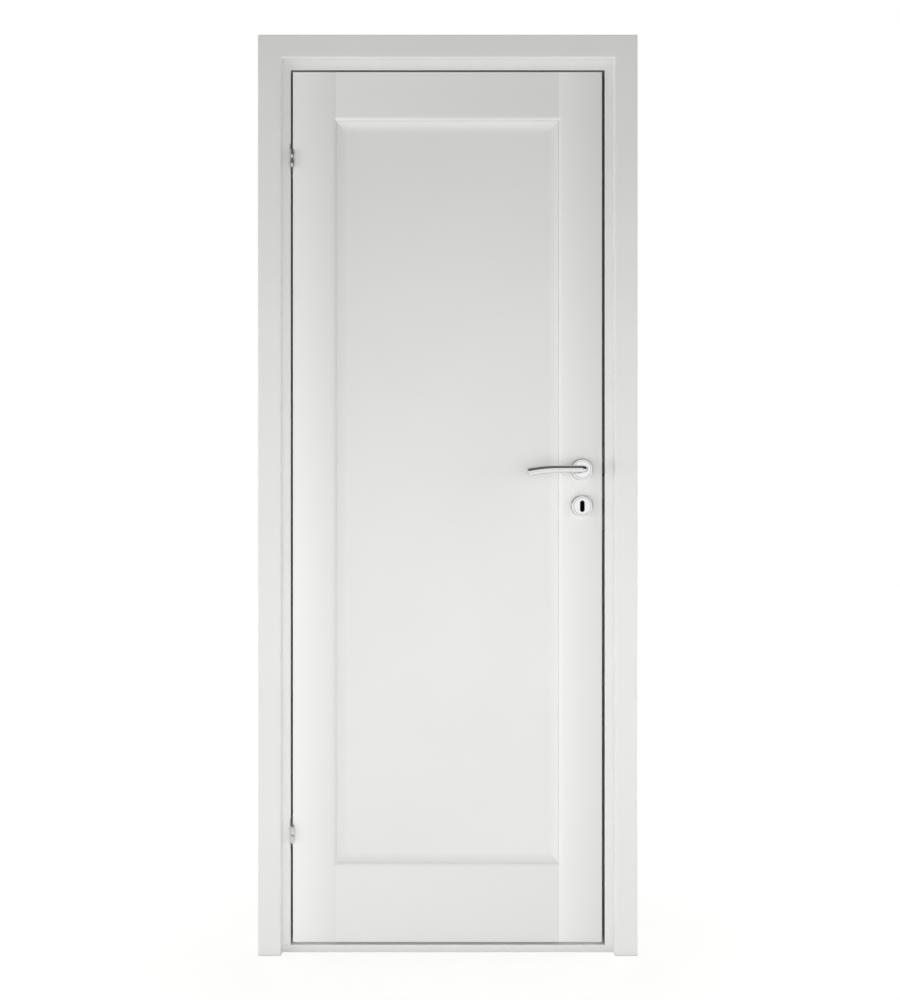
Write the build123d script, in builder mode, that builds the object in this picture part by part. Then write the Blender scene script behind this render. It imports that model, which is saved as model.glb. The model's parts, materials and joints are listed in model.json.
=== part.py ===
"""White painted interior door set: a one-panel leaf on two lift-off hinges in a rebated timber frame.

X runs along the wall from the hinge side to the lock side. Y runs into the wall, away from the side that
the leaf opens to. Z is up. The origin is on the wall face of the hinge jamb, at half the frame's depth
and half its height. All sizes are in millimetres.
"""
import os

from build123d import *

os.makedirs("parts", exist_ok=True)

# Leaf: stiles, rails and one panel
leaf_width = 725.0
leaf_height = 2040.0
leaf_thickness = 40.0
leaf_edge_radius = 2.0
stile_face = 94.0
top_rail_face = 106.5
bottom_rail_face = 178.0

# Panel moulding: a rolled arris on stiles and rails, then the panel's ledge and its cove
arris_width = 7.0
arris_depth = 2.5
arris_start_slope = 0.08
arris_overrun = 1.0
ledge_width = 1.5
cove_width = 22.0
cove_depth = 6.0
groove_width = 12.0
groove_depth = 12.0
panel_tongue = 10.0

# Frame: jambs and head of one rebated section, standing on a flat threshold
jamb_thickness = 27.0
stop_height = 12.5
frame_depth = 92.0
frame_edge_radius = 2.0
threshold_height = 17.0
threshold_edge_radius = 2.5
fixing_hole_radius = 4.0
fixing_spacing = 1300.0

# Running gaps round the leaf
hinge_gap = 5.0
lock_gap = 6.5
top_gap = 5.0
bottom_gap = 6.0
stop_gap = 5.0

# Architraves on both sides of the wall
architrave_width = 54.0
architrave_thickness = 15.0
architrave_reveal = 19.5
architrave_edge_radius = 3.0

# Lift-off hinges: a plate with a pin let into the jamb, a plate with a socket let into the leaf
hinge_below_top = 205.0
hinge_above_bottom = 255.0
hinge_plate_height = 70.0
hinge_plate_width = 30.0
hinge_plate_thickness = 2.5
hinge_plate_corner = 6.0
hinge_web_thickness = 2.5
hinge_web_lap = 6.0
knuckle_radius = 4.5
knuckle_length = 19.8
knuckle_gap = 0.4
knuckle_edge_chamfer = 1.0
knuckle_clear_of_face = 1.0
hinge_axis_from_edge = 0.5
pin_radius = 2.5
pin_length = 15.0
pin_clearance = 0.05
socket_end_clearance = 0.5
hinge_screw_pitch = 24.0
hinge_screw_from_front = 16.0
hinge_screw_stagger = 5.0

# Lock in the leaf's edge and its strike plate in the jamb
forend_width = 20.0
forend_height = 200.0
forend_thickness = 3.0
bolt_thickness = 12.0
latch_height = 28.0
dead_bolt_height = 32.0
bolt_length = 25.0
bolt_edge_radius = 1.5
bolt_clearance = 0.3
strike_thickness = 2.0
strike_hole_margin = 2.0
strike_pocket_depth = 16.0
lock_screw_from_end = 12.0

# Countersunk screw holes in the hinge plates and the lock plates
screw_hole_radius = 2.2
screw_head_radius = 4.0
screw_head_angle = 90.0

# Handles: levers on round roses, key roses below them
backset = 48.0
spindle_height = 1107.5
key_drop = 85.5
rose_radius = 25.0
rose_thickness = 9.0
rose_edge_chamfer = 1.5
rose_groove_radius = 20.0
rose_groove_width = 0.9
rose_groove_depth = 0.7
keyhole_width = 11.0
keyhole_height = 27.0
keyhole_recess = 12.0
lever_radius = 7.5
lever_stand_off = 52.0
lever_elbow_radius = 11.0
lever_reach = 131.0
lever_straight = 58.0
lever_droop = 8.0
lever_tip_radius = 6.0
neck_clearance = 0.1
neck_clear_of_face = 1.0
spindle_width = 8.0
spindle_socket = 22.0
spindle_bore_radius = 7.0

# Places in the frame
frame_width = leaf_width + hinge_gap + lock_gap + 2 * jamb_thickness
frame_height = threshold_height + bottom_gap + leaf_height + top_gap + jamb_thickness
front = -frame_depth / 2
back = frame_depth / 2
floor = -frame_height / 2
frame_top = frame_height / 2
jamb_foot = floor + threshold_height
head_rebate = frame_top - jamb_thickness
wall_middle = Plane.XZ
towards_lock = (1, 0, 0)
towards_hinges = (-1, 0, 0)
frame_middle = Plane.YZ.offset(frame_width / 2)

# Places in the leaf
leaf_left = jamb_thickness + hinge_gap
leaf_right = leaf_left + leaf_width
leaf_bottom = jamb_foot + bottom_gap
leaf_top = leaf_bottom + leaf_height
leaf_mid = front + leaf_thickness / 2
leaf_middle = Plane.XZ.offset(-leaf_mid)
stop_face = front + leaf_thickness + stop_gap
strike_face = frame_width - jamb_thickness

# The panel opening, between the square edges of stiles and rails
stile_width = stile_face + arris_width
opening_width = leaf_width - 2 * stile_width
opening_left = leaf_left + stile_width
opening_bottom = leaf_bottom + bottom_rail_face + arris_width
opening_top = leaf_top - top_rail_face - arris_width
opening_height = opening_top - opening_bottom
opening_centre = (opening_left + opening_width / 2, leaf_mid, (opening_bottom + opening_top) / 2)
border_thickness = leaf_thickness - 2 * arris_depth

# The hinge line and the handle axes
hinge_axis_x = leaf_left + hinge_axis_from_edge
hinge_axis_y = front - knuckle_clear_of_face - knuckle_radius
upper_hinge = leaf_top - hinge_below_top
lower_hinge = leaf_bottom + hinge_above_bottom
spindle_x = leaf_right - backset
spindle_z = leaf_bottom + spindle_height
key_z = spindle_z - key_drop
lock_z = (spindle_z + key_z) / 2


def save(piece, name):
    """Label a finished piece and write it to its own file."""
    piece.label = name
    export_step(piece, f"parts/{name}.step")


def slab(x_range, y_range, z_range):
    """A plain block between two planes in each direction."""
    low = (x_range[0], y_range[0], z_range[0])
    size = (x_range[1] - x_range[0], y_range[1] - y_range[0], z_range[1] - z_range[0])
    with BuildPart() as block:
        with Locations(low):
            Box(*size, align=(Align.MIN, Align.MIN, Align.MIN))
    return block.part


def frame_profile(plane):
    """Rebated frame section: x from the wall face towards the opening, y from the front to the back."""
    with BuildSketch(plane) as profile:
        with BuildLine():
            Polyline(
                (0, front),
                (jamb_thickness, front),
                (jamb_thickness, stop_face),
                (jamb_thickness + stop_height, stop_face),
                (jamb_thickness + stop_height, back),
                (0, back),
                close=True,
            )
        make_face()
        columns = profile.vertices().group_by(Axis.X)
        fillet([columns[1].sort_by(Axis.Y)[0], *columns[2]], frame_edge_radius)
    return profile.sketch


def screwed(plate, thickness, spots, outwards):
    """The plate with a countersunk screw hole at each spot of the face that looks outwards."""
    with BuildPart() as drilled:
        add(plate)
        with Locations(*[Plane(spot, z_dir=outwards) for spot in spots]):
            CounterSinkHole(screw_hole_radius, screw_head_radius, thickness, screw_head_angle)
    return drilled.part


# Hinges


def hinge_plate(x, z):
    """Hinge plate standing on the plane x, from the front of the rebate inwards, inner corners rounded."""
    with BuildPart() as plate:
        with BuildSketch(Plane.YZ.offset(x)) as outline:
            with Locations((front, z)):
                Rectangle(hinge_plate_width, hinge_plate_height, align=(Align.MIN, Align.CENTER))
            fillet(outline.vertices().group_by(Axis.X)[-1], hinge_plate_corner)
        extrude(amount=hinge_plate_thickness)
    return plate.part


def knuckle(z, outer_end):
    """Hinge knuckle from height z upwards, its free end chamfered."""
    with BuildPart() as barrel:
        with BuildSketch(Plane.XY.offset(z)):
            with Locations((hinge_axis_x, hinge_axis_y)):
                Circle(knuckle_radius)
        extrude(amount=knuckle_length)
        chamfer(barrel.edges().filter_by(GeomType.CIRCLE).sort_by(Axis.Z)[outer_end], knuckle_edge_chamfer)
    return barrel.part


def hinge_frame_half(z):
    """Jamb half of a hinge: plate, the web on it, lower knuckle and the pin that stands in it."""
    foot = z - knuckle_gap / 2 - knuckle_length
    with BuildPart() as half:
        add(hinge_plate(jamb_thickness - hinge_plate_thickness, z))
        add(
            slab(
                (jamb_thickness, jamb_thickness + hinge_web_thickness),
                (hinge_axis_y, front + hinge_web_lap),
                (foot, foot + knuckle_length),
            )
        )
        add(knuckle(foot, 0))
        with BuildSketch(Plane.XY.offset(foot + knuckle_length)):
            with Locations((hinge_axis_x, hinge_axis_y)):
                Circle(pin_radius)
        extrude(amount=pin_length)
    return half.part


def hinge_leaf_half(z):
    """Leaf half of a hinge: plate, web and the upper knuckle with its blind pin socket."""
    foot = z + knuckle_gap / 2
    with BuildPart() as half:
        add(hinge_plate(leaf_left, z))
        add(
            slab(
                (leaf_left, leaf_left + hinge_web_thickness),
                (hinge_axis_y, front),
                (foot, foot + knuckle_length),
            )
        )
        add(knuckle(foot, -1))
        with BuildSketch(Plane.XY.offset(foot)):
            with Locations((hinge_axis_x, hinge_axis_y)):
                Circle(pin_radius + pin_clearance)
        extrude(amount=pin_length - knuckle_gap + socket_end_clearance, mode=Mode.SUBTRACT)
    return half.part


def hinge_screws(blank, x, z, outwards):
    """The hinge half with its three staggered screw holes in the plate face at x."""
    row = front + hinge_screw_from_front
    spots = [
        (x, row, z - hinge_screw_pitch),
        (x, row + hinge_screw_stagger, z),
        (x, row, z + hinge_screw_pitch),
    ]
    return screwed(blank, hinge_plate_thickness, spots, outwards)


upper_frame_blank = hinge_frame_half(upper_hinge)
lower_frame_blank = hinge_frame_half(lower_hinge)
upper_leaf_blank = hinge_leaf_half(upper_hinge)
lower_leaf_blank = hinge_leaf_half(lower_hinge)
upper_hinge_frame_half = hinge_screws(upper_frame_blank, jamb_thickness, upper_hinge, towards_lock)
lower_hinge_frame_half = hinge_screws(lower_frame_blank, jamb_thickness, lower_hinge, towards_lock)
upper_hinge_leaf_half = hinge_screws(upper_leaf_blank, leaf_left, upper_hinge, towards_hinges)
lower_hinge_leaf_half = hinge_screws(lower_leaf_blank, leaf_left, lower_hinge, towards_hinges)

# Lock: the bolts lie drawn back, level with the forend in the leaf's edge


def bolt(z, height, grown=0.0):
    """Bolt block drawn back into the leaf, its visible end eased, or its pocket when grown."""
    with BuildPart() as block:
        add(
            slab(
                (leaf_right - bolt_length, leaf_right),
                (leaf_mid - bolt_thickness / 2 - grown, leaf_mid + bolt_thickness / 2 + grown),
                (z - height / 2 - grown, z + height / 2 + grown),
            )
        )
        if not grown:
            fillet(block.faces().sort_by(Axis.X)[-1].edges(), bolt_edge_radius)
    return block.part


latch_bolt = bolt(spindle_z, latch_height)
dead_bolt = bolt(key_z, dead_bolt_height)
latch_pocket = bolt(spindle_z, latch_height, bolt_clearance)
dead_bolt_pocket = bolt(key_z, dead_bolt_height, bolt_clearance)

lock_screw_reach = forend_height / 2 - lock_screw_from_end


def lock_plate(face_x, depth, outwards):
    """Round-ended lock plate from the plane face_x to the given depth, and its copy with screw holes."""
    with BuildPart() as plate:
        with BuildSketch(Plane.YZ.offset(face_x)):
            with Locations((leaf_mid, lock_z)):
                SlotOverall(forend_height, forend_width, rotation=90)
        extrude(amount=depth)
    spots = [(face_x, leaf_mid, lock_z + reach) for reach in (-lock_screw_reach, lock_screw_reach)]
    return plate.part, screwed(plate.part, abs(depth), spots, outwards)


forend_blank, forend_screwed = lock_plate(leaf_right, -forend_thickness, towards_lock)
strike_blank, strike_screwed = lock_plate(strike_face, strike_thickness, towards_hinges)

with BuildPart() as lock_forend:
    add(forend_screwed)
    add(latch_pocket, mode=Mode.SUBTRACT)
    add(dead_bolt_pocket, mode=Mode.SUBTRACT)

with BuildPart() as strike_plate:
    add(strike_screwed)
    with BuildSketch(Plane.YZ.offset(strike_face)):
        with Locations((leaf_mid, spindle_z)):
            Rectangle(bolt_thickness + 2 * strike_hole_margin, latch_height + 2 * strike_hole_margin)
        with Locations((leaf_mid, key_z)):
            Rectangle(bolt_thickness + 2 * strike_hole_margin, dead_bolt_height + 2 * strike_hole_margin)
    extrude(amount=strike_thickness, mode=Mode.SUBTRACT)

# Frame

with BuildPart() as head_jamb:
    extrude(frame_profile(Plane((0, 0, frame_top), x_dir=(0, 0, -1), z_dir=(1, 0, 0))), frame_width)

with BuildPart() as threshold:
    add(slab((0, frame_width), (front, back), (floor, jamb_foot)))
    long_edges = threshold.faces().sort_by(Axis.Z)[-1].edges().filter_by(Axis.X)
    fillet(long_edges, threshold_edge_radius)

with BuildPart() as hinge_jamb:
    extrude(frame_profile(Plane.XY.offset(jamb_foot)), head_rebate - jamb_foot)
    add(head_jamb.part, mode=Mode.SUBTRACT)
    add(upper_frame_blank, mode=Mode.SUBTRACT)
    add(lower_frame_blank, mode=Mode.SUBTRACT)
    with BuildSketch(Plane.YZ):
        with Locations((leaf_mid, 0)):
            with GridLocations(0, fixing_spacing, 1, 2):
                Circle(fixing_hole_radius)
    extrude(amount=jamb_thickness, mode=Mode.SUBTRACT)

with BuildPart() as lock_jamb:
    lock_jamb_foot = Plane((frame_width, 0, head_rebate), x_dir=(-1, 0, 0), z_dir=(0, 0, -1))
    extrude(frame_profile(lock_jamb_foot), head_rebate - jamb_foot)
    add(head_jamb.part, mode=Mode.SUBTRACT)
    add(strike_blank, mode=Mode.SUBTRACT)
    with BuildSketch(Plane.YZ.offset(strike_face)):
        with Locations((leaf_mid, spindle_z)):
            Rectangle(bolt_thickness + 2 * strike_hole_margin, latch_height + 2 * strike_hole_margin)
        with Locations((leaf_mid, key_z)):
            Rectangle(bolt_thickness + 2 * strike_hole_margin, dead_bolt_height + 2 * strike_hole_margin)
    extrude(amount=strike_pocket_depth, mode=Mode.SUBTRACT)
    with BuildSketch(Plane.YZ.offset(strike_face)):
        with Locations((leaf_mid, 0)):
            with GridLocations(0, fixing_spacing, 1, 2):
                Circle(fixing_hole_radius)
    extrude(amount=jamb_thickness, mode=Mode.SUBTRACT)

# Architraves: mitred at the upper corners, front arrises rounded

casing_inner = jamb_thickness - architrave_reveal
casing_outer = casing_inner - architrave_width
casing_head = head_rebate + architrave_reveal
casing_top = casing_head + architrave_width

with BuildPart() as front_hinge_architrave:
    with BuildSketch(Plane.XZ.offset(-front)):
        with BuildLine():
            Polyline(
                (casing_outer, floor),
                (casing_inner, floor),
                (casing_inner, casing_head),
                (casing_outer, casing_top),
                close=True,
            )
        make_face()
    extrude(amount=architrave_thickness)
    face_edges = front_hinge_architrave.faces().sort_by(Axis.Y)[0].edges().filter_by(Axis.Z)
    fillet(face_edges, architrave_edge_radius)

with BuildPart() as front_head_architrave:
    with BuildSketch(Plane.XZ.offset(-front)):
        with BuildLine():
            Polyline(
                (casing_outer, casing_top),
                (casing_inner, casing_head),
                (frame_width - casing_inner, casing_head),
                (frame_width - casing_outer, casing_top),
                close=True,
            )
        make_face()
    extrude(amount=architrave_thickness)
    face_edges = front_head_architrave.faces().sort_by(Axis.Y)[0].edges().filter_by(Axis.X)
    fillet(face_edges, architrave_edge_radius)

with BuildPart() as front_lock_architrave:
    mirror(front_hinge_architrave.part, about=frame_middle)

with BuildPart() as back_hinge_architrave:
    mirror(front_hinge_architrave.part, about=wall_middle)

with BuildPart() as back_head_architrave:
    mirror(front_head_architrave.part, about=wall_middle)

with BuildPart() as back_lock_architrave:
    mirror(front_lock_architrave.part, about=wall_middle)

# Leaf


def arris_profile(plane, span):
    """Mouth of the panel opening in one direction, centred: its sides roll in from the leaf's face."""
    half = span / 2
    brink = half + arris_width
    with BuildSketch(plane) as section:
        with BuildLine():
            mouth = Polyline((-brink, 0), (-brink, -arris_overrun), (brink, -arris_overrun), (brink, 0))
            right_roll = TangentArc(mouth @ 1, (half, arris_depth), tangent=(-1, arris_start_slope))
            left_roll = TangentArc(mouth @ 0, (-half, arris_depth), tangent=(1, arris_start_slope))
            Line(left_roll @ 1, right_roll @ 1)
        make_face()
    return section.sketch


with BuildPart() as opening_arris:
    mouth_centre = (opening_centre[0], front, opening_centre[2])
    across = Plane(mouth_centre, x_dir=(1, 0, 0), z_dir=(0, 0, 1))
    upwards = Plane(mouth_centre, x_dir=(0, 0, 1), z_dir=(-1, 0, 0))
    mouth_half_height = opening_height / 2 + arris_width
    mouth_half_width = opening_width / 2 + arris_width
    extrude(arris_profile(across, opening_width), mouth_half_height, both=True)
    extrude(arris_profile(upwards, opening_height), mouth_half_width, both=True, mode=Mode.INTERSECT)
    mirror(about=leaf_middle)


def ease_outer_arrises(piece, outer_faces):
    """Round the front and back arrises of the faces that lie on the leaf's outer edge."""
    faces = piece.faces()
    edges = ShapeList()
    for axis, end in outer_faces:
        outer = faces.sort_by(axis)[end]
        edges += [e for e in outer.edges() if not e.is_closed and abs((e % 0.5).Y) < 0.5]
    fillet(edges, leaf_edge_radius)


def stile(left, edge_end):
    """Upright of the leaf with the groove for panel and rails along its inner edge."""
    groove_left = left + stile_width - groove_depth if edge_end == 0 else left
    with BuildPart() as upright:
        add(slab((left, left + stile_width), (front, front + leaf_thickness), (leaf_bottom, leaf_top)))
        ease_outer_arrises(upright, [(Axis.X, edge_end), (Axis.Z, 0), (Axis.Z, -1)])
        add(
            slab(
                (groove_left, groove_left + groove_depth),
                (leaf_mid - groove_width / 2, leaf_mid + groove_width / 2),
                (leaf_bottom, leaf_top),
            ),
            mode=Mode.SUBTRACT,
        )
        add(opening_arris.part, mode=Mode.SUBTRACT)
    return upright.part


def rail(bottom, top, edge_end):
    """Cross rail between the stiles, tongued into their grooves and grooved for the panel."""
    groove_bottom = top - groove_depth if edge_end == 0 else bottom
    tongue_y = (leaf_mid - groove_width / 2, leaf_mid + groove_width / 2)
    tongue_x = (opening_left - groove_depth, opening_left + opening_width + groove_depth)
    with BuildPart() as cross:
        add(
            slab(
                (opening_left, opening_left + opening_width),
                (front, front + leaf_thickness),
                (bottom, top),
            )
        )
        ease_outer_arrises(cross, [(Axis.Z, edge_end)])
        add(slab(tongue_x, tongue_y, (bottom, top)))
        add(slab(tongue_x, tongue_y, (groove_bottom, groove_bottom + groove_depth)), mode=Mode.SUBTRACT)
        add(opening_arris.part, mode=Mode.SUBTRACT)
    return cross.part


top_rail = rail(opening_top, leaf_top, -1)
bottom_rail = rail(leaf_bottom, opening_bottom, 0)


def cove_profile(plane, span):
    """Dished section across the panel, centred: a flat between two coves that rise to the ledges."""
    half = span / 2 - ledge_width
    with BuildSketch(plane) as section:
        with BuildLine():
            floor_line = Line((-half + cove_width, cove_depth), (half - cove_width, cove_depth))
            right_cove = TangentArc(floor_line @ 1, (half, 0), tangent=(1, 0))
            left_cove = TangentArc(floor_line @ 0, (-half, 0), tangent=(-1, 0))
            Line(left_cove @ 1, right_cove @ 1)
        make_face()
    return section.sketch


with BuildPart() as panel_dish:
    dish_centre = (opening_centre[0], front + arris_depth, opening_centre[2])
    across = Plane(dish_centre, x_dir=(1, 0, 0), z_dir=(0, 0, 1))
    upwards = Plane(dish_centre, x_dir=(0, 0, 1), z_dir=(-1, 0, 0))
    extrude(cove_profile(across, opening_width), opening_height / 2, both=True)
    extrude(cove_profile(upwards, opening_height), opening_width / 2, both=True, mode=Mode.INTERSECT)

with BuildPart() as panel:
    with Locations(opening_centre):
        Box(opening_width, border_thickness, opening_height)
        Box(opening_width + 2 * panel_tongue, groove_width, opening_height + 2 * panel_tongue)
    add(panel_dish.part, mode=Mode.SUBTRACT)
    add(mirror(panel_dish.part, about=leaf_middle, mode=Mode.PRIVATE), mode=Mode.SUBTRACT)

with BuildPart() as keyhole_recess_block:
    with BuildSketch(Plane.XZ.offset(-front)):
        with Locations((spindle_x, key_z)):
            SlotOverall(keyhole_height, keyhole_width, rotation=90)
    extrude(amount=-keyhole_recess)
    mirror(about=leaf_middle)

with BuildPart() as hinge_stile:
    add(stile(leaf_left, 0))
    add(upper_leaf_blank, mode=Mode.SUBTRACT)
    add(lower_leaf_blank, mode=Mode.SUBTRACT)

with BuildPart() as lock_stile:
    add(stile(leaf_right - stile_width, -1))
    add(forend_blank, mode=Mode.SUBTRACT)
    add(latch_pocket, mode=Mode.SUBTRACT)
    add(dead_bolt_pocket, mode=Mode.SUBTRACT)
    add(keyhole_recess_block.part, mode=Mode.SUBTRACT)
    with BuildSketch(Plane.XZ.offset(-front)):
        with Locations((spindle_x, spindle_z)):
            Circle(spindle_bore_radius)
    extrude(amount=-leaf_thickness, mode=Mode.SUBTRACT)

# Handles: a lever and two roses on each face, the levers joined by a square spindle

rose_bore = lever_radius + neck_clearance


def rose_disc(z, bore):
    """Round rose with a chamfered rim and a fine ring groove, on the front face at height z."""
    radial = Plane((spindle_x, front, z), x_dir=(1, 0, 0), z_dir=(0, 0, -1))
    with BuildPart() as disc:
        with BuildSketch(radial):
            with Locations((bore, 0)):
                Rectangle(rose_radius - bore, rose_thickness, align=(Align.MIN, Align.MIN))
            with Locations((rose_groove_radius, rose_thickness)):
                Rectangle(rose_groove_width, 2 * rose_groove_depth, mode=Mode.SUBTRACT)
        revolve(axis=Axis((spindle_x, front, z), (0, 1, 0)))
        rim = disc.edges().filter_by(GeomType.CIRCLE).group_by(Axis.Y)[0].sort_by(SortBy.RADIUS)[-1]
        chamfer(rim, rose_edge_chamfer)
    return disc.part


with BuildPart() as front_handle_rose:
    add(rose_disc(spindle_z, rose_bore))

with BuildPart() as front_key_rose:
    add(rose_disc(key_z, 0))
    with BuildSketch(Plane.XZ.offset(-front)):
        with Locations((spindle_x, key_z)):
            SlotOverall(keyhole_height, keyhole_width, rotation=90)
    extrude(amount=rose_thickness, mode=Mode.SUBTRACT)

with BuildPart() as spindle:
    with Locations((spindle_x, leaf_mid, spindle_z)):
        spindle_half = leaf_thickness / 2 + neck_clear_of_face + spindle_socket
        Box(spindle_width, 2 * spindle_half, spindle_width)

with BuildPart() as front_lever:
    neck_start = (spindle_x, front - neck_clear_of_face, spindle_z)
    bar_y = front - lever_stand_off
    with BuildLine() as lever_line:
        neck = Line(neck_start, (spindle_x, bar_y + lever_elbow_radius, spindle_z))
        elbow = TangentArc(neck @ 1, (spindle_x - lever_elbow_radius, bar_y, spindle_z), tangent=(0, -1, 0))
        bar = Line(elbow @ 1, (spindle_x - lever_straight, bar_y, spindle_z))
        TangentArc(bar @ 1, (spindle_x - lever_reach, bar_y, spindle_z - lever_droop), tangent=(-1, 0, 0))
    with BuildSketch(Plane(neck_start, x_dir=(1, 0, 0), z_dir=(0, -1, 0))):
        Circle(lever_radius)
    sweep(path=lever_line.wire())
    tip = front_lever.faces().sort_by(Axis.X)[0].edges()
    fillet(tip, lever_tip_radius)
    add(spindle.part, mode=Mode.SUBTRACT)

with BuildPart() as back_handle_rose:
    mirror(front_handle_rose.part, about=leaf_middle)

with BuildPart() as back_key_rose:
    mirror(front_key_rose.part, about=leaf_middle)

with BuildPart() as back_lever:
    mirror(front_lever.part, about=leaf_middle)

save(hinge_jamb.part, "hinge_jamb")
save(lock_jamb.part, "lock_jamb")
save(head_jamb.part, "head_jamb")
save(threshold.part, "threshold")
save(front_hinge_architrave.part, "front_hinge_architrave")
save(front_lock_architrave.part, "front_lock_architrave")
save(front_head_architrave.part, "front_head_architrave")
save(back_hinge_architrave.part, "back_hinge_architrave")
save(back_lock_architrave.part, "back_lock_architrave")
save(back_head_architrave.part, "back_head_architrave")
save(strike_plate.part, "strike_plate")
save(upper_hinge_frame_half, "upper_hinge_frame_half")
save(lower_hinge_frame_half, "lower_hinge_frame_half")
save(upper_hinge_leaf_half, "upper_hinge_leaf_half")
save(lower_hinge_leaf_half, "lower_hinge_leaf_half")
save(hinge_stile.part, "hinge_stile")
save(lock_stile.part, "lock_stile")
save(top_rail, "top_rail")
save(bottom_rail, "bottom_rail")
save(panel.part, "panel")
save(lock_forend.part, "lock_forend")
save(latch_bolt, "latch_bolt")
save(dead_bolt, "dead_bolt")
save(front_handle_rose.part, "front_handle_rose")
save(back_handle_rose.part, "back_handle_rose")
save(front_key_rose.part, "front_key_rose")
save(back_key_rose.part, "back_key_rose")
save(front_lever.part, "front_lever")
save(back_lever.part, "back_lever")
save(spindle.part, "spindle")
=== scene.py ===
import json
import math

import bmesh
import bpy
from mathutils import Matrix, Vector


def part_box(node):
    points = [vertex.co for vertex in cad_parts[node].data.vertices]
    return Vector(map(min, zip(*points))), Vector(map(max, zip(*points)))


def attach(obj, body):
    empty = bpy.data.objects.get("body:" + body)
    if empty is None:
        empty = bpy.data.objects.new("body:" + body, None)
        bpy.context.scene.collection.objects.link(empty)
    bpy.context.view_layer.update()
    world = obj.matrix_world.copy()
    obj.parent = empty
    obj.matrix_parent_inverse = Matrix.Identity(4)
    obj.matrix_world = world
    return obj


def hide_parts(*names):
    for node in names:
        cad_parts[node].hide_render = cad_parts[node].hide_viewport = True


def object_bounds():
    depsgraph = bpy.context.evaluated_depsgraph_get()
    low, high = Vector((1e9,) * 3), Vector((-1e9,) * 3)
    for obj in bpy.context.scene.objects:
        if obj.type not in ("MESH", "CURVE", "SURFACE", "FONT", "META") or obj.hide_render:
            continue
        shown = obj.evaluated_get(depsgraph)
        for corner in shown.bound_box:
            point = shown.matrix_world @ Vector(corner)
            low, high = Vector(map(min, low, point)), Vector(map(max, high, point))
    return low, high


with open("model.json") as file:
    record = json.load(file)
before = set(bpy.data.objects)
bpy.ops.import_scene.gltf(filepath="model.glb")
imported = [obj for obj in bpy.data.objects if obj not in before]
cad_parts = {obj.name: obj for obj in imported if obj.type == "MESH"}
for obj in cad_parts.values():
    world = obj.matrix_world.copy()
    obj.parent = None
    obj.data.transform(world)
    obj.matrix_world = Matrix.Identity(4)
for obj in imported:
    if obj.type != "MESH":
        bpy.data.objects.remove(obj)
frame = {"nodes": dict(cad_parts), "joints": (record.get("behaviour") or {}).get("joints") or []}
cad_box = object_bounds()
nodes = frame["nodes"]

# Jambs, head and threshold
# Planed pine, rebated for the leaf, undercoated and sprayed with white satin enamel at the works.
# The jambs stand on the threshold and are screwed up into the head, which runs over both of them.

# the lighter film pairs are painted light; the last pair is the base white of most pieces
lit_film = ("F5F5F3", "EEEEEC")
half_lit_film = ("F0F0EE", "EAEAE8")
base_film = ("ECECEA", "E6E6E4")
rounded_edge = 0.002
stop_clearance = 0.005


def linear(colour):
    """Linear RGBA of an sRGB colour written as six hex digits."""
    channels = [int(colour[start:start + 2], 16) / 255 for start in (0, 2, 4)]
    return [*(c / 12.92 if c <= 0.04045 else ((c + 0.055) / 1.055) ** 2.4 for c in channels), 1.0]


def add_node(tree, kind, inputs=None, **settings):
    """Add a node with its settings; inputs maps a socket's name or number to a link or a value."""
    node = tree.nodes.new(kind)
    for key, value in settings.items():
        setattr(node, key, value)
    for key, value in (inputs or {}).items():
        if isinstance(value, bpy.types.NodeSocket):
            tree.links.new(value, node.inputs[key])
        else:
            node.inputs[key].default_value = value
    return node


def new_material(name):
    """A node material: returns it with its tree, its shader and its Object coordinates."""
    material = bpy.data.materials.new(name)
    material.use_nodes = True
    tree = material.node_tree
    place = add_node(tree, "ShaderNodeTexCoord").outputs["Object"]
    return material, tree, tree.nodes["Principled BSDF"], place


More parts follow.
